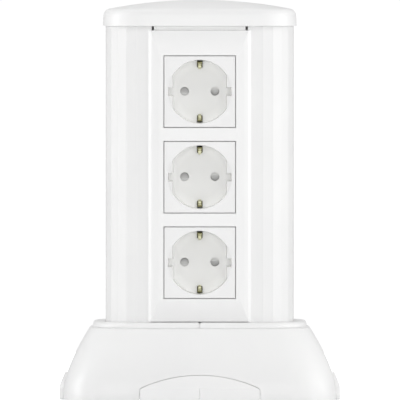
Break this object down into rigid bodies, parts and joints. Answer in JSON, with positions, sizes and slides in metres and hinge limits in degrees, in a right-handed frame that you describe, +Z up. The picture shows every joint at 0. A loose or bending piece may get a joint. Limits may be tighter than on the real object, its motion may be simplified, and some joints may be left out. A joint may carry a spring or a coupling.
{
  "type": "mini power column",
  "caption": "Free-standing mini power column: a rounded white column on a sloped base with earthed sockets behind a bevelled front plate.",
  "frame": {"origin": "middle of the footprint, on the floor under the feet", "axes": "+Z up the column, the sockets face -Y, +X to the right of someone who faces them"},
  "size_m": [0.1758, 0.142, 0.2503],
  "materials": {
    "painted_aluminium": "satin white powder coat",
    "white_plastic": "fine satin white moulding",
    "pot_plastic": "smooth warm white moulding",
    "shutter_plastic": "grey moulding",
    "housing_plastic": "plain white moulding",
    "brass": "nickel-plated brass strip",
    "zinc_steel": "zinc plated",
    "rubber": "matt",
    "block_plastic": "natural moulding"
  },
  "bodies": {
    "column": {"column_profile": "painted_aluminium", "top_cap": "white_plastic", "front_plate": "white_plastic", "collar_left": "white_plastic", "collar_right": "white_plastic", "base_shell": "white_plastic", "socket_cover_1": "white_plastic", "socket_cover_2": "white_plastic", "socket_cover_3": "white_plastic", "socket_pot_1": "pot_plastic", "socket_pot_2": "pot_plastic", "socket_pot_3": "pot_plastic", "recess_floor_1": "pot_plastic", "recess_floor_2": "pot_plastic", "recess_floor_3": "pot_plastic", "socket_housing_1": "housing_plastic", "socket_housing_2": "housing_plastic", "socket_housing_3": "housing_plastic", "device_carrier": "housing_plastic", "live_contact_1": "brass", "live_contact_2": "brass", "live_contact_3": "brass", "neutral_contact_1": "brass", "neutral_contact_2": "brass", "neutral_contact_3": "brass", "earth_clip_1": "brass", "earth_clip_2": "brass", "earth_clip_3": "brass", "terminal_screws_1": "zinc_steel", "terminal_screws_2": "zinc_steel", "terminal_screws_3": "zinc_steel", "base_plate": "zinc_steel", "column_screws": "zinc_steel", "shell_screws": "zinc_steel", "rubber_feet": "rubber", "terminal_block": "block_plastic"},
    "shutter_1": {"shutter_1": "shutter_plastic"},
    "shutter_2": {"shutter_2": "shutter_plastic"},
    "shutter_3": {"shutter_3": "shutter_plastic"},
    "front_hatch": {"front_hatch": "white_plastic"},
    "rear_hatch": {"rear_hatch": "white_plastic"},
    "left_hatch": {"left_hatch": "white_plastic"},
    "right_hatch": {"right_hatch": "white_plastic"}
  },
  "joints": [
    {"name": "shutter_1_turn", "type": "hinge", "parent": "column", "child": "shutter_1", "pos_m": [0, -0.0235, 0.1933], "axis": [0, -1, 0], "range_deg": [0, 45], "stiffness_Nm_per_rad": 0.004, "springref_deg": -22.92},
    {"name": "shutter_2_turn", "type": "hinge", "parent": "column", "child": "shutter_2", "pos_m": [0, -0.0235, 0.1398], "axis": [0, -1, 0], "range_deg": [0, 45], "stiffness_Nm_per_rad": 0.004, "springref_deg": -22.92},
    {"name": "shutter_3_turn", "type": "hinge", "parent": "column", "child": "shutter_3", "pos_m": [0, -0.0235, 0.0863], "axis": [0, -1, 0], "range_deg": [0, 45], "stiffness_Nm_per_rad": 0.004, "springref_deg": -22.92},
    {"name": "front_hatch_pull", "type": "slide", "parent": "column", "child": "front_hatch", "axis": [0, -1, 0], "range_m": [0, 0.025]},
    {"name": "rear_hatch_pull", "type": "slide", "parent": "column", "child": "rear_hatch", "axis": [0, 1, 0], "range_m": [0, 0.025]},
    {"name": "left_hatch_pull", "type": "slide", "parent": "column", "child": "left_hatch", "axis": [-1, 0, 0], "range_m": [0, 0.025]},
    {"name": "right_hatch_pull", "type": "slide", "parent": "column", "child": "right_hatch", "axis": [1, 0, 0], "range_m": [0, 0.025]}
  ]
}
